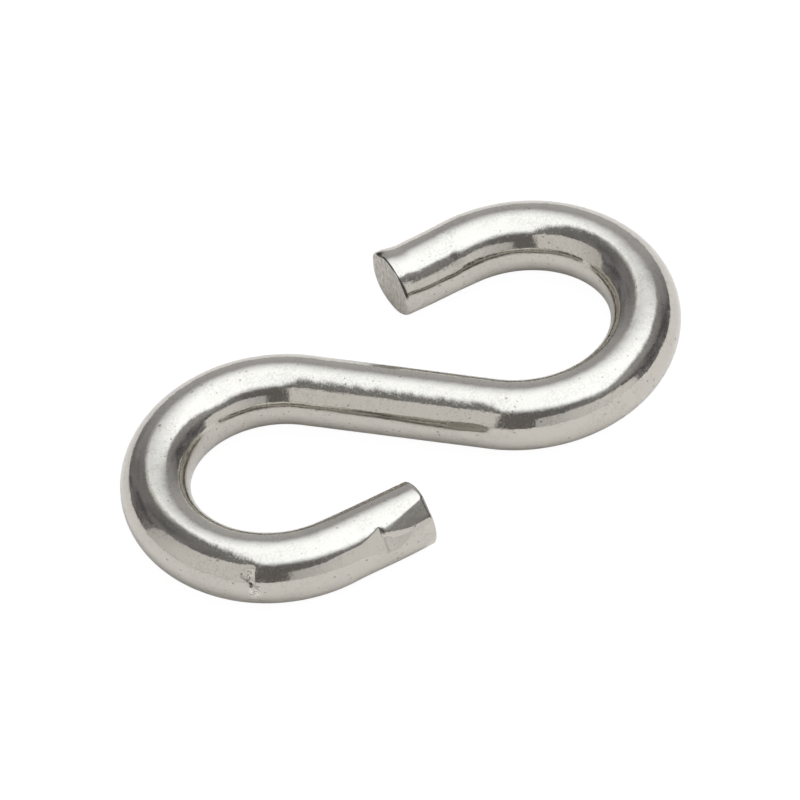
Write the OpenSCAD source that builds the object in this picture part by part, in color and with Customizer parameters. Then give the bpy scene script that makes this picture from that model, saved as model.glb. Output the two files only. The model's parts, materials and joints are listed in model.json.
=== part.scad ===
// S hook bent cold from one length of polished round bar.
// Two open eyes turn the same way, so the bar doubles back over itself in one flat plane.
// It lies on its side: the line through both eyes runs along X, and the table is at Z = 0.

/* [Bar] */
// Thickness of the round bar
bar_d = 6; // [4:0.1:7]
// Straight shank between the two bends
shank_l = 16.4; // [12:0.1:26]

/* [Far eye] */
// Width inside the far eye, which is the pin that the bar was bent round
far_eye_d = 15; // [13:0.1:22]
// How far the bar turns round the far eye, in degrees
far_turn = 225; // [205:0.5:235]
// Straight tail past the far bend
far_tail_l = 7; // [5:0.1:9]

/* [Near eye] */
// Width inside the near eye, bent by hand a little tighter than the far one
near_eye_d = 14.6; // [13:0.1:22]
// How far the bar turns round the near eye, in degrees
near_turn = 223.5; // [205:0.5:235]
// Straight tail past the near bend
near_tail_l = 8.4; // [6:0.1:10]

/* [Sheared ends] */
// How much the die that gripped each tail drew it in, off its radius
tail_draw = 0.05; // [0.03:0.01:0.1]
// Small round that tumbling left on the rim of each cut
rim_r = 0.2; // [0.1:0.05:0.4]
// Roll of the far cut, on its underside where the shear blade went in
far_roll_r = 0.8; // [0.5:0.1:1.2]
// Roll of the near cut, on its upper side where the shear blade went in
near_roll_r = 1; // [0.5:0.1:1.4]
// Height of the burr that the shear left proud along the top of the far cut
burr_h = 0.18; // [0.1:0.01:0.25]
// Thickness of the burr's rolled bead
burr_t = 1; // [0.8:0.1:1.4]

/* [Tool marks] */
// Depth of the flat that the bending die pressed into the near tail
die_depth = 0.3; // [0.1:0.02:0.4]
// Length of the die's flat along the bar
die_l = 3; // [2:0.1:4]
// Clear bar between the die's flat and the near cut
die_back = 4.8; // [3.5:0.1:5.5]
// Direction that the die's flat faces, in degrees above level
die_face = 31; // [0:1:60]
// Length of the flat that the shear's hold-down pressed into the near tail, up to the cut
press_l = 4.7; // [3:0.1:5.5]
// Depth of that flat at the cut
press_depth = 0.45; // [0.2:0.05:0.6]
// Direction that it faces, in degrees above level
press_face = 40; // [30:1:60]
// Depth of the nick on the outside of the near bend
nick_depth = 0.22; // [0.1:0.02:0.4]
// How far round the near bend the nick lies, in degrees
nick_turn = 186; // [120:1:200]
// Direction that the nick faces, in degrees above level
nick_face = 10; // [0:1:60]

/* [Hidden] */
$fn = 96;

steel = [0.78, 0.77, 0.75];
bar_r = bar_d / 2;
tail_r = bar_r - tail_draw;
// How far a tail's core runs back into its bend, so that both are one body.
tail_lap = 0.4;
far_bend_r = far_eye_d / 2 + bar_r;
near_bend_r = near_eye_d / 2 + bar_r;

// The shank slants so that the line through both eyes runs along X.
shank_turn = -atan2(far_bend_r + near_bend_r, shank_l);
far_heading = shank_turn + far_turn;
near_heading = shank_turn + 180 + near_turn;

// Unit vectors: the way that a heading points, and the left of it.
function ahead(a) = [cos(a), sin(a)];
function left_of(a) = [-sin(a), cos(a)];

// Middle of each eye, seen from the middle of the shank.
far_centre = ahead(shank_turn) * shank_l / 2 + left_of(shank_turn) * far_bend_r;
near_centre = -ahead(shank_turn) * shank_l / 2 - left_of(shank_turn) * near_bend_r;

// How far a tail's rounded rim reaches sideways, on the outside of its bend.
function tail_reach(centre_y, bend_r, tail_l, heading) =
    abs(centre_y - left_of(heading).y * bend_r + ahead(heading).y * (tail_l - rim_r))
    + abs(left_of(heading).y) * (tail_r - rim_r) + rim_r;

// The outline's middle, which goes to the origin.
x_high = far_centre.x + far_bend_r + bar_r;
x_low = near_centre.x - near_bend_r - bar_r;
y_high = tail_reach(far_centre.y, far_bend_r, far_tail_l, far_heading);
y_low = -tail_reach(near_centre.y, near_bend_r, near_tail_l, near_heading);
middle = [(x_high + x_low) / 2, (y_high + y_low) / 2, -bar_r];

// Places its children where the bar enters the far bend, with X along the bar.
module far_side() {
    rotate(shank_turn) translate([shank_l / 2, 0, 0]) children();
}

// Places its children where the bar enters the near bend, with X along the bar.
module near_side() {
    rotate(shank_turn + 180) translate([shank_l / 2, 0, 0]) children();
}

// Carries its children round a bend by some degrees.
module round_bend(bend_r, turn) {
    translate([0, bend_r, 0]) rotate(turn) translate([0, -bend_r, 0]) children();
}

// Straight bar along X.
module straight(l) {
    rotate([0, 90, 0]) cylinder(h = l, r = bar_r);
}

// The bar bent round a pin that stands to its left.
module bend(bend_r, turn) {
    translate([0, bend_r, 0])
        rotate(-90)
            rotate_extrude(angle = turn)
                translate([bend_r, 0]) circle(r = bar_r);
}

// Half section of a tail, from its axis out to its rounded rim.
module tail_section(tail_l) {
    difference() {
        translate([0, -tail_lap]) square([tail_r, tail_l + tail_lap]);
        translate([tail_r - rim_r, tail_l - rim_r])
            difference() {
                square(2 * rim_r);
                circle(r = rim_r);
            }
    }
}

// Straight tail with a sheared end, along X.
module tail(tail_l) {
    rotate([90, 0, 90]) rotate_extrude() tail_section(tail_l);
}

// What the shear blade rolled off the lower edge of a cut at X = 0.
module roll_cut(roll_r) {
    translate([-roll_r, 0, roll_r - tail_r])
        rotate([90, 0, 0])
            linear_extrude(height = 2 * bar_d, center = true)
                difference() {
                    translate([0, -2 * roll_r]) square(2 * roll_r);
                    circle(r = roll_r);
                }
}

// Bead of metal pushed out along the upper edge of a cut at X = 0.
module burr() {
    bead_r = burr_t / 2;
    ring_r = tail_r - 2 * bead_r;
    translate([-bead_r - rim_r, 0, tail_r + burr_h - bead_r - ring_r])
        rotate([0, 90, 0])
            rotate_extrude() translate([ring_r, 0]) circle(r = bead_r);
}

// Wedge that the bending die took from the bar at X = 0, deepest at its end and running out behind.
module die_flat() {
    slope = atan2(die_depth, die_l);
    rotate([90 - die_face, 0, 0])
        translate([0, 0, bar_r - die_depth])
            rotate([0, slope, 0])
                translate([-2 * die_l, -bar_d, 0]) cube([2 * die_l, 2 * bar_d, bar_d]);
}

// Wedge that the shear's hold-down took from a tail, deepest at the cut at X = 0.
module press_flat() {
    slope = atan2(press_depth, press_l);
    rotate([90 - press_face, 0, 0])
        translate([0, 0, tail_r - press_depth])
            rotate([0, slope, 0])
                translate([-2 * press_l, -bar_d, 0]) cube([3 * press_l, 2 * bar_d, bar_d]);
}

// V groove across the bar at X = 0.
module nick() {
    rotate([90 - nick_face, 0, 0])
        translate([0, 0, bar_r - nick_depth])
            rotate([0, -45, 0])
                translate([0, -bar_r, 0]) cube([bar_r, bar_d, bar_r]);
}

// Far half: bend and tail, its underside rolled and its upper edge burred.
module far_half() {
    far_side() {
        bend(far_bend_r, far_turn);
        round_bend(far_bend_r, far_turn) {
            difference() {
                tail(far_tail_l);
                translate([far_tail_l, 0, 0]) roll_cut(far_roll_r);
            }
            translate([far_tail_l, 0, 0]) burr();
        }
    }
}

// Near half: bend and tail, its upper side rolled, with the marks of the bending tools.
module near_half() {
    near_side() {
        difference() {
            union() {
                bend(near_bend_r, near_turn);
                round_bend(near_bend_r, near_turn) tail(near_tail_l);
            }
            round_bend(near_bend_r, near_turn) {
                translate([near_tail_l, 0, 0]) {
                    mirror([0, 0, 1]) roll_cut(near_roll_r);
                    press_flat();
                }
                translate([near_tail_l - die_back, 0, 0]) die_flat();
            }
            round_bend(near_bend_r, nick_turn) nick();
        }
    }
}

module hook() {
    color(steel)
        translate(-middle) {
            rotate(shank_turn) translate([-shank_l / 2, 0, 0]) straight(shank_l);
            far_half();
            near_half();
        }
}

hook();
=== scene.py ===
import json
import math

import bmesh
import bpy
from mathutils import Matrix, Quaternion, Vector, noise


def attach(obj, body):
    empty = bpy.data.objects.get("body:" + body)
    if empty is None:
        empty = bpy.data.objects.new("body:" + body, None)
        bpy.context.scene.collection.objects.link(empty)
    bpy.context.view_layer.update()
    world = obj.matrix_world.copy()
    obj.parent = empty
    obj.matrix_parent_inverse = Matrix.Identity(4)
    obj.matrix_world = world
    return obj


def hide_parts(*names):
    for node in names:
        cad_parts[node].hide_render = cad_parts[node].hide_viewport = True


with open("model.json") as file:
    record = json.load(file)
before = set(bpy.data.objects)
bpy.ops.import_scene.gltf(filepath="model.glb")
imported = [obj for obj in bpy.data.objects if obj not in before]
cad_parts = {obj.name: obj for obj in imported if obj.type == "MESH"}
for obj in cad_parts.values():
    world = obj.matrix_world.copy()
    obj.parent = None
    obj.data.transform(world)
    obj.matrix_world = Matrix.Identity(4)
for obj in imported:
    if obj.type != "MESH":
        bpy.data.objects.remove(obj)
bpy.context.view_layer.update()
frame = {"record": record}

# The model is one S hook, cold bent from polished stainless round bar.
# Lengths are in metres, in the frame's own axes: X along the hook, Z up from the table.
MM = 0.001
BODY = "root"
NODE = "hook"

# Places and depths of the marks. OUT is a distance along the bar from the middle of the shank, and
# BACK is one back from the cut. An ANGLE or a FACE is in degrees round the bar, from 0 on the outer
# side of the bend to 90 on its top.
NICK_OUT = 41.55 * MM
NICK_ANGLE = 19
DENT_ANGLE = 60
DENT_DEPTH = 0.2 * MM
DIE_FACE = 31
DIE_START_BACK = 10.3 * MM
DIE_DIG_BACK = 7.2 * MM
DIE_LEDGE_BACK = 4.85 * MM
DIE_SHALLOW = 0.05 * MM
DIE_CORNER_OUT = 52.15 * MM
DIE_CORNER_ANGLE = 49
PRESS_L = 4.7 * MM
PRESS_FACE = 45
PRESS_CREASE_ANGLE = 33
# Share of the pressed flat that stays when the steel has sprung back.
PRESS_KEPT = 0.88
# How far the shear pinched the underside of each tail in at its cut, and how far back that runs.
PINCH = 0.08 * MM
PINCH_L = 3 * MM

# Rings of the sheared faces, and the height of their torn relief.
CUT_RINGS = 12
CUT_RELIEF = 0.012 * MM

# Colour casts of the lights, on their brightness.
SOFTBOX_TINT = (1.0, 1.04, 1.1)
LEFT_CARD_TINT = (1.0, 0.986, 0.972)
CAMERA_SIDE_TINT = (1.0, 0.95, 0.94)
WALL_TINT = (1.0, 1.0, 1.03)
ROOM_TINT = (1.0, 0.965, 1.035)
NO_TINT = (1.0, 1.0, 1.0)
# Shade of a panel that is as bright all along.
EVEN_SHADE = (-9.0, -8.0, 1.0, 1.0)

bl_info = {
    "name": "S hook",
    "version": (1, 0, 0),
    "blender": (4, 5, 0),
    "location": "3D View > Sidebar > S hook",
    "description": "Models a polished S hook and its studio",
    "category": "Object",
}


class BarSizes(bpy.types.PropertyGroup):
    """Sizes of the bent bar, as the frame has them."""

    bar_d: bpy.props.FloatProperty(
        name="Bar thickness", description="Thickness of the round bar",
        default=6 * MM, min=1 * MM, max=20 * MM, unit="LENGTH", precision=5)
    far_eye_d: bpy.props.FloatProperty(
        name="Far eye", description="Width inside the far eye",
        default=15 * MM, min=5 * MM, max=60 * MM, unit="LENGTH", precision=5)
    far_turn: bpy.props.FloatProperty(
        name="Far turn", description="How far the bar turns round the far eye",
        default=math.radians(225), subtype="ANGLE", unit="ROTATION")
    far_tail_l: bpy.props.FloatProperty(
        name="Far tail", description="Straight tail past the far bend",
        default=7 * MM, min=1 * MM, max=30 * MM, unit="LENGTH", precision=5)
    near_eye_d: bpy.props.FloatProperty(
        name="Near eye", description="Width inside the near eye",
        default=14.6 * MM, min=5 * MM, max=60 * MM, unit="LENGTH", precision=5)
    near_turn: bpy.props.FloatProperty(
        name="Near turn", description="How far the bar turns round the near eye",
        default=math.radians(223.5), subtype="ANGLE", unit="ROTATION")
    near_tail_l: bpy.props.FloatProperty(
        name="Near tail", description="Straight tail past the near bend",
        default=8.4 * MM, min=1 * MM, max=30 * MM, unit="LENGTH", precision=5)
    facets: bpy.props.IntProperty(
        name="Facets", description="Facets round the bar", default=144, min=24, max=160)
    ring_gap: bpy.props.FloatProperty(
        name="Ring gap", description="Widest gap between rings along plain bar",
        default=0.2 * MM, min=0.1 * MM, max=2 * MM, unit="LENGTH", precision=6)


class MarkSizes(bpy.types.PropertyGroup):
    """Marks that the shear, the dies and handling left on the bar."""

    tail_draw: bpy.props.FloatProperty(
        name="Tail draw", description="How much the die drew each tail in, off its radius",
        default=0.05 * MM, unit="LENGTH", precision=6)
    rim_r: bpy.props.FloatProperty(
        name="Rim round", description="Small round on the crisp side of a cut",
        default=0.1 * MM, unit="LENGTH", precision=6)
    far_roll_r: bpy.props.FloatProperty(
        name="Far roll", description="Roll of the far cut, on its underside",
        default=0.5 * MM, unit="LENGTH", precision=6)
    near_roll_r: bpy.props.FloatProperty(
        name="Near roll", description="Roll of the near cut, on its upper side",
        default=0.45 * MM, unit="LENGTH", precision=6)
    burr_h: bpy.props.FloatProperty(
        name="Burr height", description="Height of the burr along the top of the far cut",
        default=0.17 * MM, unit="LENGTH", precision=6)
    die_depth: bpy.props.FloatProperty(
        name="Die depth", description="Depth of the flat that the die pressed into the near tail",
        default=0.3 * MM, unit="LENGTH", precision=6)
    near_press: bpy.props.FloatProperty(
        name="Near press", description="How far the front of the near tail is pressed in at its cut",
        default=0.4 * MM, unit="LENGTH", precision=6)
    nick_depth: bpy.props.FloatProperty(
        name="Nick depth", description="Depth of the nick on the outside of the near bend",
        default=0.2 * MM, unit="LENGTH", precision=6)
    wander: bpy.props.FloatProperty(
        name="Wander", description="How far the polished skin wanders off a true round",
        default=0.014 * MM, unit="LENGTH", precision=6)


class FinishLook(bpy.types.PropertyGroup):
    """Colours and texture of the steel."""

    steel: bpy.props.FloatVectorProperty(
        name="Steel", description="Colour of the polished steel",
        default=(0.548, 0.525, 0.475), subtype="COLOR", min=0, max=1)
    pit_colour: bpy.props.FloatVectorProperty(
        name="Pits", description="Colour of the grime that is left in the pits",
        default=(0.2, 0.185, 0.155), subtype="COLOR", min=0, max=1)
    polish: bpy.props.FloatProperty(
        name="Polish", description="Roughness of the brightest polished skin",
        default=0.055, min=0, max=1)
    grain_h: bpy.props.FloatProperty(
        name="Grain", description="Height of the fine grain that tumbling left",
        default=0.0028 * MM, unit="LENGTH", precision=7)
    draw_h: bpy.props.FloatProperty(
        name="Draw lines", description="Height of the drawing lines along the bar",
        default=0.004 * MM, unit="LENGTH", precision=7)


class StudioLook(bpy.types.PropertyGroup):
    """Camera, table and lights."""

    azimuth: bpy.props.FloatProperty(
        name="Azimuth", description="Where the camera stands round the hook",
        default=math.radians(-32.01), subtype="ANGLE", unit="ROTATION")
    elevation: bpy.props.FloatProperty(
        name="Elevation", description="How far the camera looks down",
        default=math.radians(46.67), subtype="ANGLE", unit="ROTATION")
    roll: bpy.props.FloatProperty(
        name="Roll", description="How far the camera is tipped about its line of sight",
        default=math.radians(-7.386), subtype="ANGLE", unit="ROTATION")
    distance: bpy.props.FloatProperty(
        name="Distance", description="From the camera to the hook",
        default=1.5, min=0.1, unit="LENGTH")
    lens: bpy.props.FloatProperty(
        name="Lens", description="Focal length in millimetres",
        default=794.5, min=1, max=5000)
    softbox: bpy.props.FloatProperty(
        name="Softbox", description="Brightness of the softbox overhead", default=1.88, min=0)
    cards: bpy.props.FloatProperty(
        name="Cards", description="Brightness of the two white cards", default=0.862, min=0)
    wall: bpy.props.FloatProperty(
        name="Wall", description="Brightness of the lit wall behind the hook", default=0.6, min=0)
    room: bpy.props.FloatProperty(
        name="Room", description="Brightness of the dark room round the set", default=0.2, min=0)
    fill: bpy.props.FloatProperty(
        name="Fill", description="Watts of the fill lamp, which lights the table alone",
        default=4.8, min=0)
    backlight: bpy.props.FloatProperty(
        name="Backlight", description="How brightly the camera sees the table lit from below",
        default=0.965, min=0)


def smooth(low, high, value):
    """Rises smoothly from 0 at low to 1 at high."""
    share = min(max((value - low) / (high - low), 0.0), 1.0)
    return share * share * (3 - 2 * share)


def soft_min(a, b, blend):
    """The lesser of a and b, with the crease between them rounded over a short blend."""
    overlap = max(blend - abs(a - b), 0.0) / blend
    return min(a, b) - overlap * overlap * blend / 4


def mount_place(name):
    """Where the frame's record puts a mount."""
    for mount in frame["record"]["mounts"]:
        if mount["name"] == name:
            return Vector(mount["pos_m"])
    raise RuntimeError(f"the record has no mount named {name}")


class Route:
    """The bar's centre line, from the far cut to the near cut, as lines and arcs."""

    def __init__(self, sizes):
        self.bar_r = sizes.bar_d / 2
        far_r = sizes.far_eye_d / 2 + self.bar_r
        near_r = sizes.near_eye_d / 2 + self.bar_r
        far_eye = mount_place("far_eye")
        near_eye = mount_place("near_eye")
        span = far_eye - near_eye
        shank_l = math.sqrt(span.length_squared - (far_r + near_r) ** 2)
        shank_heading = math.atan2(span.y, span.x) - math.atan2(far_r + near_r, shank_l)
        far_heading = shank_heading + sizes.far_turn
        start = far_eye + Matrix.Rotation(far_heading, 3, "Z") @ Vector((sizes.far_tail_l, -far_r, 0))
        # Each stretch is where it ends along the bar, its turn for each metre, and the eye that it
        # turns about.
        self.stretches = []
        self.length = 0.0
        for length, turn, eye in (
                (sizes.far_tail_l, 0.0, None),
                (far_r * sizes.far_turn, -sizes.far_turn, far_eye),
                (shank_l, 0.0, None),
                (near_r * sizes.near_turn, sizes.near_turn, near_eye),
                (sizes.near_tail_l, 0.0, None)):
            self.length += length
            self.stretches.append((self.length, turn / length, eye))
        self.first = Matrix.Translation(start) @ Matrix.Rotation(far_heading + math.pi, 4, "Z")
        self.middle = sizes.far_tail_l + far_r * sizes.far_turn + shank_l / 2
        self.far_bend_end = self.middle - sizes.far_tail_l
        self.near_bend_end = self.length - self.middle - sizes.near_tail_l

    def carried(self, along):
        """What carries a ring from its place on the straight bar to its place on the bent one."""
        carry = self.first
        begun = 0.0
        for end, turn, eye in self.stretches:
            run = min(along, end) - begun
            if eye is None:
                carry = carry @ Matrix.Translation((run, 0, 0))
            else:
                about_eye = Matrix.Translation(eye) @ Matrix.Rotation(turn * run, 4, "Z")
                carry = about_eye @ Matrix.Translation(-eye) @ carry
            if along <= end:
                break
            begun = end
        return carry @ Matrix.Translation((-along, 0, 0))


class Marks:
    """How far each point of the bar's skin lies from the bar's axis."""

    def __init__(self, route, marks):
        self.route = route
        self.m = marks
        self.far_cut = route.middle
        self.near_cut = route.length - route.middle

    def radius(self, along, around):
        """Radius of the skin, at a distance along the bar and an angle round it."""
        near = along > self.route.middle
        out = abs(along - self.route.middle)
        # On each half the outer side of the bend is at angle 0, the top at a quarter turn and the
        # underside at minus a quarter.
        side = (around + math.pi) % math.tau - math.pi if near else math.pi - around
        radius = self.route.bar_r - self.uneven(along, around)
        radius -= self.drawn(out, side, near)
        if near:
            radius = self.die_flat(radius, out, side)
            radius = self.near_flat(radius - self.nick(out, side), out, side)
            return radius - self.rim(self.near_cut - out, self.near_round(side))
        radius += self.burr(out, side) - self.far_grip(out, side) - self.dent(self.far_cut - out, side)
        return radius - self.rim(self.far_cut - out, self.far_round(side))

    def uneven(self, along, around):
        """Soft dents of the hand-bent, tumbled skin, always inwards."""
        across = self.route.bar_r / MM
        place = Vector((along / (4 * MM), across * math.cos(around) / 2.2,
                        across * math.sin(around) / 2.2))
        long_dent = noise.noise(place) * 0.5 + 0.5
        short_dent = noise.noise(place * 2.7 + Vector((9, 0, 0))) * 0.5 + 0.5
        return self.m.wander * (long_dent + 0.3 * short_dent)

    def drawn(self, out, side, near):
        """What the gripping die and the shear drew each tail in."""
        bend_end = self.route.near_bend_end if near else self.route.far_bend_end
        cut = self.near_cut if near else self.far_cut
        grip = smooth(bend_end - 0.5 * MM, bend_end + 2 * MM, out)
        below = 0.5 - 0.5 * math.sin(side)
        pinch = smooth(cut - PINCH_L, cut, out) * below
        return self.m.tail_draw * grip + PINCH * pinch

    def die_flat(self, radius, out, side):
        """The spoon-shaped flat of the bending die, which ends in a ledge near the cut."""
        angle = math.degrees(side)
        facing = math.radians(angle - DIE_FACE)
        if math.cos(facing) < 0.6:
            return radius
        start = self.near_cut - DIE_START_BACK
        shallow = DIE_SHALLOW * smooth(start, start + 1.6 * MM, out)
        dig = min(max((out - (self.near_cut - DIE_DIG_BACK)) / (2.3 * MM), 0.0), 1.0)
        depth = shallow + (self.m.die_depth - DIE_SHALLOW) * dig ** 1.8
        # The ledge slants towards the cut on its lower side, and is softer there.
        ledge = self.near_cut - DIE_LEDGE_BACK + 0.6 * MM * smooth(44, 14, angle)
        fall = 0.4 * MM + 2.4 * MM * smooth(44, 28, angle)
        depth *= 1 - smooth(ledge - 0.05 * MM, ledge + fall, out)
        plane = (radius - depth) / math.cos(facing)
        return soft_min(radius, plane, 0.02 * MM) if depth > 0 else radius

    def nick(self, out, side):
        """A crumpled nick across the outer side of the near bend, and the step that runs up from it."""
        angle = math.degrees(side)
        if not -30 < angle < 65:
            return 0.0
        offset = (out - NICK_OUT) / MM
        pit = math.exp(-(offset / 0.12) ** 2 - ((angle - NICK_ANGLE) / 3.5) ** 2)
        crease_at = 0.035 * (NICK_ANGLE - angle)
        crease = math.exp(-((offset - crease_at) / 0.1) ** 2)
        crease *= smooth(-2, 6, angle) * (1 - smooth(14, 22, angle))
        patch = math.exp(-((offset - 0.1) / 0.4) ** 4 - ((angle - 2) / 10.0) ** 4)
        rumple = noise.noise(Vector((out / (0.17 * MM) + angle / 7, angle / 6, 3.0)))
        ahead = (0.28 - offset) / 0.45
        step = ahead * math.exp(1 - ahead) if ahead > 0 else 0.0
        step *= smooth(20, 30, angle) * (1 - smooth(42, 60, angle))
        marked = 0.9 * pit + 0.2 * crease + patch * (0.1 + 0.3 * rumple) + 0.16 * step
        return self.m.nick_depth * marked

    def dent(self, from_cut, side):
        """A dent that the shear left at the top of the far cut's rim."""
        across = (math.degrees(side) - DENT_ANGLE) / 11.0
        return DENT_DEPTH * math.exp(-(from_cut / (0.4 * MM)) ** 2 - across ** 2)

    def painted_shade(self, along, around):
        """How much painted shade the skin gets, from 0 to 1."""
        out = abs(along - self.route.middle)
        if along < self.route.middle:
            return self.far_painted_shade(self.far_cut - out, math.degrees((math.pi - around) % math.tau))
        return self.near_painted_shade(out, math.degrees(around))

    def far_painted_shade(self, from_cut, angle):
        """Painted shade: a dark line along the far cut's rim, a painted reflection of dark in the rim's
        small round, and darkening in the dent at its top.
        """
        wide = (0.13 + 0.22 * smooth(115, 150, angle)) * MM
        line = smooth(48, 60, angle) * (1 - smooth(158, 170, angle))
        line *= 1 - smooth(0.6 * wide, wide, from_cut)
        # Lower down, the painted dark line leaves a bright sliver at the very edge of the rim.
        line *= max(smooth(0.01 * MM, 0.06 * MM, from_cut), 1 - smooth(108, 118, angle))
        hollow = math.hypot(from_cut / (0.42 * MM), (angle - DENT_ANGLE) / 13)
        return max(0.95 * line, 1 - smooth(0.6, 1.1, hollow))

    def near_painted_shade(self, out, angle):
        """Painted shade in the nick, its two cracks and the die mark's corner, and a painted dark line
        along the near cut's rim.
        """
        offset = (out - NICK_OUT) / MM
        past = angle - NICK_ANGLE
        pit = math.hypot((offset + 0.02 * past) / 0.15, past / 5.0)
        right = math.exp(-((offset - 0.025 * (27.5 - angle)) / 0.07) ** 2)
        right *= smooth(4, 9, angle) * (1 - smooth(18, 23, angle))
        left = math.exp(-((angle - 22 + 14 * offset) / 2.2) ** 2)
        left *= smooth(-0.9, -0.5, offset) * (1 - smooth(-0.1, 0.1, offset))
        corner = math.hypot((out - DIE_CORNER_OUT) / (0.2 * MM), (angle - DIE_CORNER_ANGLE) / 7.0)
        line = smooth(40, 55, angle) * (1 - smooth(95, 120, angle))
        line *= 1 - smooth(0.06 * MM, 0.14 * MM, self.near_cut - out)
        return max(1 - smooth(0.5, 1.2, pit), 0.5 * right, 0.35 * left,
                   0.8 * (1 - smooth(0.4, 1.3, corner)), 0.8 * line)

    def crumple(self, along, around):
        """How far the skin is crumpled round the nick."""
        offset = (along - self.route.middle - NICK_OUT) / MM
        angle = (math.degrees(around) + 180) % 360 - 180
        below = math.exp(-((offset - 0.2) / 0.38) ** 4 - ((angle - 1) / 11.0) ** 4)
        above = math.exp(-((offset + 0.1) / 0.36) ** 4 - ((angle - 36) / 11.0) ** 4)
        return max(below, 0.7 * above)

    def near_flat(self, radius, out, side):
        """The front of the near tail, pressed flat towards the cut, between two slanting creases."""
        share = min(max((out - (self.near_cut - PRESS_L)) / PRESS_L, 0.0), 1.0)
        angle = math.degrees(side)
        if share == 0.0 or not -60 < angle < 120:
            return radius
        facing = math.radians(max(angle, PRESS_CREASE_ANGLE) - PRESS_FACE)
        flat = (radius - self.m.near_press * share ** 1.65) / math.cos(facing)
        pressed = PRESS_KEPT * (radius - flat)
        if angle < PRESS_CREASE_ANGLE:
            return radius - pressed * smooth(-55, PRESS_CREASE_ANGLE, angle)
        return soft_min(radius, radius - pressed, (0.02 + 0.04 * share) * MM)

    def burr(self, out, side):
        """The lip that the shear pushed up along the top of the far cut."""
        if math.sin(side) < 0:
            return 0.0
        angle = math.degrees(side)
        rise = 1 - smooth(0.3 * MM, 2.2 * MM, self.far_cut - out)
        top = smooth(0.2, 0.55, math.sin(side)) * (1 - 0.6 * smooth(105, 150, angle))
        lip = 0.5 * math.exp(-((angle - 45) / 20) ** 2)
        return self.m.burr_h * rise * top * (1 + lip)

    def far_grip(self, out, side):
        """What the gripping die took off the top and the inner side of the far tail."""
        bend_end = self.route.far_bend_end
        grip = smooth(bend_end + 1.0 * MM, bend_end + 1.9 * MM, out)
        angle = math.degrees(side)
        if grip == 0.0 or not 30 < angle < 180:
            return 0.0
        over = 0.07 * smooth(30, 115, angle) * (1 - smooth(143, 176, angle))
        flat = 0.045 * math.exp(-((angle - 137) / 12) ** 2)
        return MM * grip * (over + flat)

    def far_round(self, side):
        """Round of the far cut's rim: rolled where the blade went in from below."""
        angle = math.degrees(side) % 360
        below = smooth(158, 200, angle) * (1 - smooth(270, 330, angle))
        return self.m.rim_r + (self.m.far_roll_r - self.m.rim_r) * below

    def near_round(self, side):
        """Round of the near cut's rim: rolled where the blade went in from above."""
        above = smooth(0.4, 0.95, math.sin(side))
        worn = 2.6 * self.m.rim_r
        return worn + (self.m.near_roll_r - worn) * above

    def rim(self, from_cut, rim_r):
        """How far a quarter round of the rim stands back from the skin."""
        if from_cut >= rim_r:
            return 0.0
        return rim_r - math.sqrt(max(rim_r ** 2 - (rim_r - from_cut) ** 2, 0.0))


def ring_places(route, ring_gap):
    """Distances along the bar that get a ring: every join, and closer rings where it is marked."""
    near_cut = route.length
    # Each busy spot is where it begins and ends, and the gap between rings there.
    busy = [
        (route.middle + 40.8 * MM, route.middle + 42.2 * MM, 0.07 * MM),
        (near_cut - 7.5 * MM, near_cut - 3.4 * MM, 0.08 * MM),
    ]
    joins = [end for end, _, _ in route.stretches]
    places = [0.0]
    while places[-1] < route.length:
        here = places[-1]
        gap = ring_gap
        for low, high, fine in busy:
            away = max(low - here, here - high, 0.0)
            gap = min(gap, fine + 0.2 * away)
        from_cut = min(here, route.length - here)
        gap = min(gap, max(0.006 * MM, 0.16 * from_cut))
        coming = [join for join in joins if join > here + 1e-9]
        places.append(min([here + gap] + coming))
    return places


def straight_bar(bm, route, sizes):
    """A straight open tube along X, and its rings of vertices by their place along it."""
    stand = Matrix.Rotation(math.pi / 2, 4, "Y")
    bmesh.ops.create_circle(bm, segments=sizes.facets, radius=route.bar_r, matrix=stand)
    grown = bmesh.ops.extrude_edge_only(bm, edges=bm.edges)["geom"]
    far_side = [part for part in grown if isinstance(part, bmesh.types.BMVert)]
    bmesh.ops.translate(bm, verts=far_side, vec=(route.length, 0, 0))
    long_edges = [edge for edge in bm.edges if edge.calc_length() > route.length / 2]
    places = ring_places(route, sizes.ring_gap)
    spans = len(places) - 1
    bmesh.ops.subdivide_edges(bm, edges=long_edges, cuts=spans - 1, use_grid_fill=True)
    rings = [(place, []) for place in places]
    for vert in bm.verts:
        place, members = rings[round(vert.co.x / route.length * spans)]
        members.append(vert)
        vert.co.x = place
    return rings


def mark_skin(bm, rings, marks):
    """Moves each ring's vertices in or out to the marked skin."""
    painted_shade = bm.verts.layers.float["painted_shade"]
    crumple = bm.verts.layers.float["crumple"]
    for along, ring in rings:
        for vert in ring:
            around = math.atan2(vert.co.z, -vert.co.y)
            # Each vertex gets its share of painted shade, and how crumpled it is.
            vert[painted_shade] = marks.painted_shade(along, around % math.tau)
            vert[crumple] = marks.crumple(along, around)
            radius = marks.radius(along, around % math.tau)
            vert.co = Vector((along, -radius * math.cos(around), radius * math.sin(around)))


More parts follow.
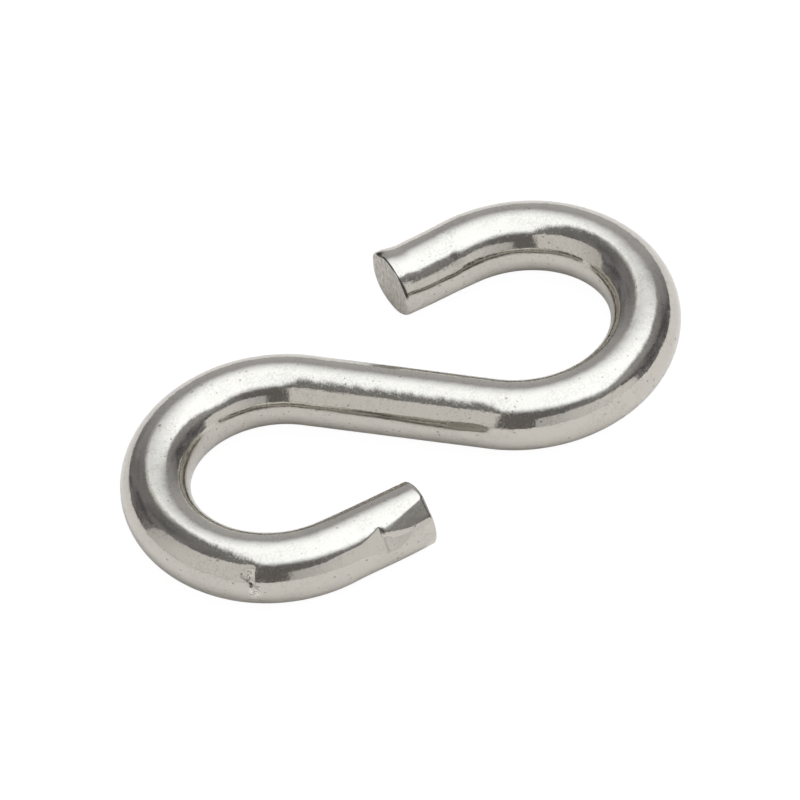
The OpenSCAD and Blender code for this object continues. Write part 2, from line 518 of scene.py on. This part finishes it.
def close_cut(bm, along, ring, inwards, seed):
    """Closes an open end with a sheared face of narrowing rings, and adds them to its ring."""
    sheared = bm.verts.layers.float["sheared"]
    painted_shade = bm.verts.layers.float["painted_shade"]
    centre = Vector((along, 0, 0))
    rim_r = min((vert.co - centre).length for vert in ring)
    members = set(ring)
    edges = [edge for edge in bm.edges if edge.is_boundary and edge.verts[0] in members]
    for index in range(CUT_RINGS):
        grown = bmesh.ops.extrude_edge_only(bm, edges=edges)["geom"]
        verts = [part for part in grown if isinstance(part, bmesh.types.BMVert)]
        edges = [part for part in grown if isinstance(part, bmesh.types.BMEdge) and part.is_boundary]
        # The first ring lies just inside the rim, and the others share out the way to the middle.
        share = 1 / (CUT_RINGS - index + 0.5) if index else 0.015
        for vert in verts:
            vert.co += (centre - vert.co) * share
            vert[sheared] = 1.0
            vert[painted_shade] = 0.0
            relief = noise.noise(vert.co / (0.9 * MM) + Vector((seed, 0, 0))) + 0.6
            inner = smooth(rim_r, 0.7 * rim_r, (vert.co - centre).length)
            vert.co.x = along + inwards * CUT_RELIEF * relief * inner
        if index < CUT_RINGS - 1:
            ring.extend(verts)
    ring.append(verts[0])
    bmesh.ops.pointmerge(bm, verts=verts, merge_co=verts[0].co)


def bend(bm, rings, route):
    """Keeps each vertex's place on the straight bar, and carries its ring to the bent one."""
    unbent = bm.verts.layers.float_vector["unbent"]
    for along, ring in rings:
        carry = route.carried(along)
        for vert in ring:
            vert[unbent] = vert.co
            vert.co = carry @ vert.co


class Wiring:
    """Adds nodes to a node tree and joins them up."""

    def __init__(self, tree):
        self.tree = tree

    def add(self, kind, **settings):
        """A new node with its settings."""
        node = self.tree.nodes.new(kind)
        for name, value in settings.items():
            setattr(node, name, value)
        return node

    def feed(self, socket, source):
        """Gives a socket a link or a plain value."""
        if isinstance(source, bpy.types.NodeSocket):
            self.tree.links.new(source, socket)
        elif source is not None:
            socket.default_value = source

    def math(self, operation, *values, clamp=False):
        """The output of a Math node."""
        node = self.add("ShaderNodeMath", operation=operation, use_clamp=clamp)
        for socket, value in zip(node.inputs, values):
            self.feed(socket, value)
        return node.outputs[0]

    def ramp(self, value, low, high, floor=0.0, ceiling=1.0):
        """A value mapped smoothly from low..high to floor..ceiling."""
        node = self.add("ShaderNodeMapRange", interpolation_type="SMOOTHSTEP")
        for socket, given in zip(node.inputs, (value, low, high, floor, ceiling)):
            self.feed(socket, given)
        return node.outputs[0]

    def scaled(self, vector, factors):
        """A vector multiplied part by part."""
        node = self.add("ShaderNodeVectorMath", operation="MULTIPLY")
        self.feed(node.inputs[0], vector)
        self.feed(node.inputs[1], factors)
        return node.outputs[0]

    def noise(self, vector, scale, detail=2.0, roughness=0.5):
        """The value of a noise pattern."""
        node = self.add("ShaderNodeTexNoise")
        self.feed(node.inputs["Vector"], vector)
        self.feed(node.inputs["Scale"], scale)
        self.feed(node.inputs["Detail"], detail)
        self.feed(node.inputs["Roughness"], roughness)
        return node.outputs["Fac"]

    def mix_colour(self, share, first, second):
        """Two colours mixed by a share."""
        node = self.add("ShaderNodeMix", data_type="RGBA")
        self.feed(node.inputs["Factor"], share)
        self.feed(node.inputs["A"], first)
        self.feed(node.inputs["B"], second)
        return node.outputs["Result"]


def new_group(name, inputs, outputs):
    """A shader node group with its sockets, its wiring and its two ends."""
    tree = bpy.data.node_groups.new(name, "ShaderNodeTree")
    for title, kind, value in inputs:
        socket = tree.interface.new_socket(title, in_out="INPUT", socket_type=kind)
        if value is not None:
            socket.default_value = value
    for title, kind in outputs:
        tree.interface.new_socket(title, in_out="OUTPUT", socket_type=kind)
    wiring = Wiring(tree)
    given = wiring.add("NodeGroupInput").outputs
    result = wiring.add("NodeGroupOutput").inputs
    return tree, wiring, given, result


def grain_group():
    """Fine grain that tumbling leaves on polished steel. Vector is in millimetres."""
    tree, wire, given, result = new_group(
        "Tumbled grain",
        [("Vector", "NodeSocketVector", None), ("Height", "NodeSocketFloat", 0.001)],
        [("Height", "NodeSocketFloat"), ("Haze", "NodeSocketFloat")])
    fine = wire.noise(given["Vector"], 6.5, 1.0, 0.6)
    broad = wire.noise(given["Vector"], 0.8, 1.0, 0.5)
    both = wire.math("MULTIPLY_ADD", broad, 7.0, fine)
    wire.feed(result["Height"], wire.math("MULTIPLY", both, given["Height"]))
    wire.feed(result["Haze"], wire.ramp(fine, 0.45, 0.7))
    return tree


def pits_group():
    """Scattered small pits. Vector is in millimetres."""
    tree, wire, given, result = new_group(
        "Scattered pits",
        [("Vector", "NodeSocketVector", None), ("Spacing", "NodeSocketFloat", 1.0),
         ("Size", "NodeSocketFloat", 0.08), ("Share", "NodeSocketFloat", 0.3)],
        [("Mask", "NodeSocketFloat")])
    wobble = wire.add("ShaderNodeVectorMath", operation="MULTIPLY_ADD")
    cloud = wire.add("ShaderNodeTexNoise")
    wire.feed(cloud.inputs["Vector"], given["Vector"])
    wire.feed(cloud.inputs["Scale"], 6.0)
    wire.feed(wobble.inputs[0], cloud.outputs["Color"])
    wire.feed(wobble.inputs[1], (0.22, 0.22, 0.22))
    wire.feed(wobble.inputs[2], given["Vector"])
    cells = wire.add("ShaderNodeTexVoronoi")
    wire.feed(cells.inputs["Vector"], wobble.outputs[0])
    wire.feed(cells.inputs["Scale"], wire.math("DIVIDE", 1.0, given["Spacing"]))
    distance = wire.math("MULTIPLY", cells.outputs["Distance"], given["Spacing"])
    part = wire.add("ShaderNodeSeparateColor")
    wire.feed(part.inputs[0], cells.outputs["Color"])
    size = wire.math("MULTIPLY", given["Size"], wire.math("ADD", part.outputs[1], 0.4))
    spot = wire.math("SUBTRACT", 1.0, wire.ramp(distance, wire.math("MULTIPLY", size, 0.5), size))
    chosen = wire.math("LESS_THAN", part.outputs[0], given["Share"])
    wire.feed(result["Mask"], wire.math("MULTIPLY", spot, chosen))
    return tree


def draw_lines_group():
    """Faint drawing lines that run along the bar. Vector is the unbent place in millimetres."""
    tree, wire, given, result = new_group(
        "Drawing lines",
        [("Vector", "NodeSocketVector", None), ("Height", "NodeSocketFloat", 0.001)],
        [("Height", "NodeSocketFloat")])
    fine = wire.noise(wire.scaled(given["Vector"], (0.2, 4.5, 4.5)), 1.0, 2.0, 0.6)
    patchy = wire.ramp(wire.noise(given["Vector"], 0.3, 1.0), 0.35, 0.65)
    lines = wire.math("MULTIPLY", fine, patchy)
    wire.feed(result["Height"], wire.math("MULTIPLY", lines, given["Height"]))
    return tree


def polished_steel(look):
    """Tumble-polished stainless steel with pits, drawing lines and matte sheared faces, and painted
    shade along its cut rims and in its hollows.
    """
    material = bpy.data.materials.new("polished_steel_bar")
    material.use_nodes = True
    material.node_tree.nodes.clear()
    wire = Wiring(material.node_tree)
    place = wire.add("ShaderNodeTexCoord").outputs["Object"]
    flat = wire.scaled(place, (1 / MM, 1 / MM, 1 / MM))
    unbent = wire.add("ShaderNodeAttribute", attribute_name="unbent").outputs["Vector"]
    straight = wire.scaled(unbent, (1 / MM, 1 / MM, 1 / MM))
    sheared = wire.add("ShaderNodeAttribute", attribute_name="sheared").outputs["Fac"]

    grain = wire.add("ShaderNodeGroup", node_tree=grain_group())
    wire.feed(grain.inputs["Vector"], flat)
    wire.feed(grain.inputs["Height"], look.grain_h / MM)
    lines = wire.add("ShaderNodeGroup", node_tree=draw_lines_group())
    wire.feed(lines.inputs["Vector"], straight)
    wire.feed(lines.inputs["Height"], look.draw_h / MM)
    pit_tree = pits_group()
    drawn_out = wire.scaled(straight, (0.8, 1.0, 1.0))
    specks = wire.add("ShaderNodeGroup", node_tree=pit_tree)
    wire.feed(specks.inputs["Vector"], drawn_out)
    wire.feed(specks.inputs["Spacing"], 0.45)
    wire.feed(specks.inputs["Size"], 0.09)
    wire.feed(specks.inputs["Share"], 0.4)
    pits = wire.add("ShaderNodeGroup", node_tree=pit_tree)
    wire.feed(pits.inputs["Vector"], drawn_out)
    wire.feed(pits.inputs["Spacing"], 1.15)
    wire.feed(pits.inputs["Size"], 0.13)
    wire.feed(pits.inputs["Share"], 0.3)

    spots = wire.math("MAXIMUM", wire.math("MULTIPLY", specks.outputs["Mask"], 0.6),
                      wire.math("MULTIPLY", pits.outputs["Mask"], 0.75))
    torn = wire.noise(wire.scaled(flat, (3.2, 3.2, 2.0)), 1.0, 4.0, 0.65)
    cloud = wire.ramp(wire.noise(flat, 4.5, 2.0, 0.8), 0.34, 0.6)
    patches = wire.ramp(wire.noise(flat, 0.5, 2.0), 0.42, 0.6, 0.2, 1.0)
    cloud = wire.math("MULTIPLY", wire.math("SUBTRACT", 1.0, cloud), patches)
    colour = wire.mix_colour(cloud, (*look.steel, 1), (*(0.87 * part for part in look.steel), 1))
    colour = wire.mix_colour(spots, colour, (*look.pit_colour, 1))
    dulled = wire.mix_colour(wire.ramp(torn, 0.36, 0.6), (*(0.62 * part for part in look.steel), 1),
                             (*(1.1 * part for part in look.steel), 1))
    colour = wire.mix_colour(wire.math("MULTIPLY", sheared, 0.85), colour, dulled)

    crumple = wire.add("ShaderNodeAttribute", attribute_name="crumple").outputs["Fac"]
    facets = wire.noise(flat, 6.5, 0.0)
    scraped = wire.mix_colour(wire.ramp(facets, 0.36, 0.56), (*(0.66 * part for part in look.steel), 1),
                              (*(1.45 * part for part in look.steel), 1))
    colour = wire.mix_colour(wire.math("MULTIPLY", crumple, 0.9), colour, scraped)
    # Painted shade: a darker share of the pit colour darkens the nick, its cracks, the dent and the die
    # corner, and paints dark reflections along the cut rims.
    painted_shade = wire.add("ShaderNodeAttribute", attribute_name="painted_shade").outputs["Fac"]
    shade_colour = tuple(0.3 * part for part in look.pit_colour)
    colour = wire.mix_colour(painted_shade, colour, (*shade_colour, 1))
    # Where shade is painted, the skin is also made rougher and dented a little.
    spots = wire.math("MAXIMUM", spots, painted_shade)

    haze = wire.math("MULTIPLY_ADD", grain.outputs["Haze"], 0.17, look.polish)
    roughness = wire.math("MULTIPLY_ADD", spots, 0.3, haze)
    torn_rough = wire.ramp(torn, 0.3, 0.7, 0.48, 0.62)
    matte = wire.add("ShaderNodeMix", data_type="FLOAT")
    wire.feed(matte.inputs["Factor"], sheared)
    wire.feed(matte.inputs["A"], roughness)
    wire.feed(matte.inputs["B"], torn_rough)

    height = wire.math("ADD", grain.outputs["Height"], lines.outputs["Height"])
    height = wire.math("MULTIPLY_ADD", spots, -0.002, height)
    height = wire.math("MULTIPLY_ADD", wire.math("MULTIPLY", facets, crumple), 0.008, height)
    tear = wire.math("MULTIPLY", wire.math("MULTIPLY", torn, sheared), 0.02)
    height = wire.math("ADD", height, tear)
    bump = wire.add("ShaderNodeBump")
    wire.feed(bump.inputs["Strength"], 1.0)
    wire.feed(bump.inputs["Distance"], MM)
    wire.feed(bump.inputs["Height"], height)

    shader = wire.add("ShaderNodeBsdfPrincipled")
    wire.feed(shader.inputs["Base Color"], colour)
    wire.feed(shader.inputs["Metallic"], 1.0)
    wire.feed(shader.inputs["Roughness"], matte.outputs["Result"])
    wire.feed(shader.inputs["Normal"], bump.outputs["Normal"])
    output = wire.add("ShaderNodeOutputMaterial")
    wire.feed(output.inputs["Surface"], shader.outputs["BSDF"])
    return material


class HOOK_OT_bend_bar(bpy.types.Operator):
    """Models the bent bar with its cuts and tool marks, in place of the frame's plain one"""

    bl_idname = "hook.bend_bar"
    bl_label = "Bend the bar"

    def execute(self, context):
        scene = context.scene
        route = Route(scene.hook_sizes)
        marks = Marks(route, scene.hook_marks)
        bm = bmesh.new()
        bm.verts.layers.float.new("sheared")
        # A vertex mask of painted shade: dark lines along the cut rims and darkening in the nick, dent
        # and die corner.
        bm.verts.layers.float.new("painted_shade")
        bm.verts.layers.float.new("crumple")
        bm.verts.layers.float_vector.new("unbent")
        rings = straight_bar(bm, route, scene.hook_sizes)
        mark_skin(bm, rings, marks)
        close_cut(bm, *rings[0], inwards=1, seed=3)
        close_cut(bm, *rings[-1], inwards=-1, seed=8)
        bend(bm, rings, route)
        bmesh.ops.recalc_face_normals(bm, faces=bm.faces)
        for face in bm.faces:
            face.smooth = True
        mesh = bpy.data.meshes.new("bent_bar")
        bm.to_mesh(mesh)
        bm.free()
        mesh.materials.append(polished_steel(scene.hook_finish))
        bar = bpy.data.objects.new("bent_bar", mesh)
        scene.collection.objects.link(bar)
        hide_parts(NODE)
        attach(bar, BODY)
        return {"FINISHED"}


def panel_paint(name, edges, shade, glow):
    """Glow of a panel that fades to nothing at each edge.

    Edges are (low, low fade, high, high fade) in X and Y. Shade is a slow change along X, as where it
    begins and ends and its values there."""
    material = bpy.data.materials.new(name)
    material.use_nodes = True
    material.node_tree.nodes.clear()
    wire = Wiring(material.node_tree)
    part = wire.add("ShaderNodeSeparateXYZ")
    wire.feed(part.inputs[0], wire.add("ShaderNodeTexCoord").outputs["Object"])
    share = 1.0
    for axis, (low, low_fade, high, high_fade) in zip("XY", edges):
        at = part.outputs[axis]
        rising = wire.ramp(at, low - low_fade, low + low_fade)
        falling = wire.ramp(at, high - high_fade, high + high_fade, 1.0, 0.0)
        share = wire.math("MULTIPLY", wire.math("MULTIPLY", rising, falling), share)
    emission = wire.add("ShaderNodeEmission")
    wire.feed(emission.inputs["Color"], (*glow, 1))
    wire.feed(emission.inputs["Strength"], wire.ramp(part.outputs["X"], *shade))
    fade = wire.add("ShaderNodeMixShader")
    wire.feed(fade.inputs[0], share)
    wire.feed(fade.inputs[1], wire.add("ShaderNodeBsdfTransparent").outputs[0])
    wire.feed(fade.inputs[2], emission.outputs[0])
    output = wire.add("ShaderNodeOutputMaterial")
    wire.feed(output.inputs["Surface"], fade.outputs[0])
    return material


def stand_panel(scene, name, turn, away, edges, shade, glow):
    """A glowing panel that faces the hook. Its edges are slopes, seen from the hook."""
    (left, left_fade, right, right_fade), (bottom, bottom_fade, top, top_fade) = edges
    bm = bmesh.new()
    bmesh.ops.create_grid(bm, x_segments=1, y_segments=1, size=1)
    for vert in bm.verts:
        vert.co.x = left - left_fade if vert.co.x < 0 else right + right_fade
        vert.co.y = bottom - bottom_fade if vert.co.y < 0 else top + top_fade
    mesh = bpy.data.meshes.new(name)
    bm.to_mesh(mesh)
    bm.free()
    mesh.materials.append(panel_paint(name, edges, shade, glow))
    panel = bpy.data.objects.new(name, mesh)
    panel.matrix_world = turn @ Matrix.Translation((0, 0, away)) @ Matrix.Scale(away, 4)
    panel.visible_camera = False
    scene.collection.objects.link(panel)


def tinted(brightness, tint):
    """The glow of a panel of some brightness, with its colour cast."""
    return [brightness * part for part in tint]


def room_light(look):
    """The dark and cluttered room, which the camera sees as a plain pale backdrop."""
    world = bpy.data.worlds.new("room")
    world.use_nodes = True
    world.node_tree.nodes.clear()
    wire = Wiring(world.node_tree)
    room = wire.add("ShaderNodeBackground")
    clutter = wire.noise(wire.add("ShaderNodeTexCoord").outputs["Generated"], 4.0, 3.0, 0.6)
    glow = wire.ramp(clutter, 0.36, 0.64, 0.62 * look.room, 1.38 * look.room)
    wire.feed(room.inputs["Strength"], glow)
    wire.feed(room.inputs["Color"], (*ROOM_TINT, 1))
    backdrop = wire.add("ShaderNodeBackground")
    wire.feed(backdrop.inputs["Color"], (1, 1, 1, 1))
    seen = wire.add("ShaderNodeMixShader")
    wire.feed(seen.inputs[0], wire.add("ShaderNodeLightPath").outputs["Is Camera Ray"])
    wire.feed(seen.inputs[1], room.outputs[0])
    wire.feed(seen.inputs[2], backdrop.outputs[0])
    output = wire.add("ShaderNodeOutputWorld")
    wire.feed(output.inputs["Surface"], seen.outputs[0])
    return world


def table_paint(look):
    """Pale table top. It is nearly shadowless to the camera and clear from below."""
    material = bpy.data.materials.new("pale_table")
    material.use_nodes = True
    material.node_tree.nodes.clear()
    wire = Wiring(material.node_tree)
    shaders = []
    for paint, glow in (((0.92, 0.893, 0.872), 0.0), ((0.08, 0.08, 0.08), look.backlight)):
        shader = wire.add("ShaderNodeBsdfPrincipled")
        wire.feed(shader.inputs["Base Color"], (*paint, 1))
        wire.feed(shader.inputs["Roughness"], 0.8)
        wire.feed(shader.inputs["Specular IOR Level"], 0.0)
        wire.feed(shader.inputs["Emission Color"], (1, 1, 1, 1))
        wire.feed(shader.inputs["Emission Strength"], glow)
        shaders.append(shader)
    seen = wire.add("ShaderNodeMixShader")
    wire.feed(seen.inputs[0], wire.add("ShaderNodeLightPath").outputs["Is Camera Ray"])
    wire.feed(seen.inputs[1], shaders[0].outputs[0])
    wire.feed(seen.inputs[2], shaders[1].outputs[0])
    sides = wire.add("ShaderNodeMixShader")
    wire.feed(sides.inputs[0], wire.add("ShaderNodeNewGeometry").outputs["Backfacing"])
    wire.feed(sides.inputs[1], seen.outputs[0])
    wire.feed(sides.inputs[2], wire.add("ShaderNodeBsdfTransparent").outputs[0])
    output = wire.add("ShaderNodeOutputMaterial")
    wire.feed(output.inputs["Surface"], sides.outputs[0])
    return material


class HOOK_OT_set_studio(bpy.types.Operator):
    """Sets the pale table, the soft light and the camera"""

    bl_idname = "hook.set_studio"
    bl_label = "Set the studio"

    def execute(self, context):
        scene = context.scene
        look = scene.hook_studio
        self.lay_table(scene, look)
        self.stand_lights(scene, look)
        scene.world = room_light(look)
        self.place_camera(scene, look)
        scene.view_settings.view_transform = "Standard"
        return {"FINISHED"}

    def lay_table(self, scene, look):
        """A wide flat table top at the hook's lowest point."""
        bm = bmesh.new()
        bmesh.ops.create_circle(bm, cap_ends=True, segments=64, radius=4.0)
        mesh = bpy.data.meshes.new("table_top")
        bm.to_mesh(mesh)
        bm.free()
        mesh.materials.append(table_paint(look))
        table = bpy.data.objects.new("table_top", mesh)
        scene.collection.objects.link(table)

    def stand_lights(self, scene, look):
        """A softbox overhead, two white cards before the hook and a lit wall behind it.

        The ceiling and the spill are lit softly round the softbox. Between the cards the steel mirrors
        the dark side that the camera stands on."""
        overhead = Matrix.Rotation(look.azimuth, 4, "Z")
        stand_panel(scene, "softbox", overhead, 1.0,
                    ((-0.29, 0.07, 0.94, 0.14), (-0.61, 0.22, 1.0, 0.72)), (-0.3, 0.5, 0.94, 1.0),
                    tinted(look.softbox, SOFTBOX_TINT))
        stand_panel(scene, "ceiling", overhead, 6.0,
                    ((-0.44, 0.12, -0.2, 0.12), (0.6, 0.22, 1.35, 0.45)), EVEN_SHADE,
                    tinted(1.6 * look.wall, NO_TINT))
        stand_panel(scene, "spill", overhead, 8.0,
                    ((-0.7, 0.5, 1.6, 0.55), (-1.0, 0.6, 1.0, 1.4)), (0.6, 1.4, 0.55, 1.0),
                    tinted(0.84 * look.wall, NO_TINT))
        stand_panel(scene, "left_card", self.upright(look, 127), 3.0,
                    ((-0.52, 0.05, 1.13, 0.08), (-1.25, 0.04, 0.0, 0.01)), (0.1, 1.1, 1.06, 0.8),
                    tinted(look.cards, LEFT_CARD_TINT))
        stand_panel(scene, "right_card", self.upright(look, -160), 3.0,
                    ((-1.33, 0.1, 0.355, 0.012), (-0.6, 0.03, 0.0, 0.01)), (-0.6, 0.55, 1.1, 0.72),
                    tinted(look.cards, NO_TINT))
        stand_panel(scene, "camera_side", self.upright(look, 169), 5.0,
                    ((-0.4, 0.06, 0.4, 0.06), (-1.2, 0.3, 0.0, 0.01)), EVEN_SHADE,
                    tinted(0.95 * look.room, CAMERA_SIDE_TINT))
        stand_panel(scene, "wall", self.upright(look, -8), 3.0,
                    ((-0.6, 0.6, 0.6, 0.6), (-0.95, 0.75, 0.0, 0.01)), EVEN_SHADE,
                    tinted(look.wall, WALL_TINT))

        # The fill lamp isn't seen in the steel.
        lamp = bpy.data.lights.new("fill_lamp", "AREA")
        lamp.shape = "DISK"
        lamp.size = 0.9
        lamp.energy = look.fill
        fill = bpy.data.objects.new("fill_lamp", lamp)
        fill.location = overhead @ Vector((0.72, 0.1, 0.95))
        fill.visible_glossy = False
        scene.collection.objects.link(fill)

    def upright(self, look, bearing):
        """Turns a panel upright, some degrees to the left of straight behind the hook."""
        turn = Matrix.Rotation(look.azimuth + math.radians(bearing), 4, "Z")
        return turn @ Matrix.Rotation(-math.radians(90), 4, "X")

    def place_camera(self, scene, look):
        """A long lens that looks down on the hook."""
        camera = bpy.data.objects.new("camera", bpy.data.cameras.new("camera"))
        scene.collection.objects.link(camera)
        level = math.cos(look.elevation)
        back = Vector((math.sin(look.azimuth) * level, -math.cos(look.azimuth) * level,
                       math.sin(look.elevation)))
        target = Vector((-0.03 * MM, 0.18 * MM, 3 * MM))
        camera.location = target + back * look.distance
        camera.rotation_mode = "QUATERNION"
        aim = back.to_track_quat("Z", "Y")
        camera.rotation_quaternion = aim @ Quaternion((0, 0, 1), look.roll)
        camera.data.lens = look.lens
        camera.data.sensor_width = 36
        scene.camera = camera


class HOOK_PT_sidebar(bpy.types.Panel):
    """Sizes, finish and studio of the S hook"""

    bl_idname = "HOOK_PT_sidebar"
    bl_label = "S hook"
    bl_space_type = "VIEW_3D"
    bl_region_type = "UI"
    bl_category = "S hook"

    def draw(self, context):
        layout = self.layout
        for title, group, operator in (
                ("Bar", context.scene.hook_sizes, None),
                ("Marks", context.scene.hook_marks, None),
                ("Finish", context.scene.hook_finish, HOOK_OT_bend_bar),
                ("Studio", context.scene.hook_studio, HOOK_OT_set_studio)):
            box = layout.box()
            box.label(text=title)
            for name in group.__annotations__:
                box.prop(group, name)
            if operator:
                box.operator(operator.bl_idname)


CLASSES = (BarSizes, MarkSizes, FinishLook, StudioLook, HOOK_OT_bend_bar, HOOK_OT_set_studio,
           HOOK_PT_sidebar)


def register():
    """Registers the classes and hangs the settings on the scene."""
    for cls in CLASSES:
        bpy.utils.register_class(cls)
    bpy.types.Scene.hook_sizes = bpy.props.PointerProperty(type=BarSizes)
    bpy.types.Scene.hook_marks = bpy.props.PointerProperty(type=MarkSizes)
    bpy.types.Scene.hook_finish = bpy.props.PointerProperty(type=FinishLook)
    bpy.types.Scene.hook_studio = bpy.props.PointerProperty(type=StudioLook)


def unregister():
    """Takes the settings and classes away again."""
    del bpy.types.Scene.hook_studio
    del bpy.types.Scene.hook_finish
    del bpy.types.Scene.hook_marks
    del bpy.types.Scene.hook_sizes
    for cls in reversed(CLASSES):
        bpy.utils.unregister_class(cls)


def main():
    """Makes the hook and its studio."""
    register()
    bpy.ops.hook.bend_bar()
    bpy.ops.hook.set_studio()


if __name__ == "__main__":
    main()
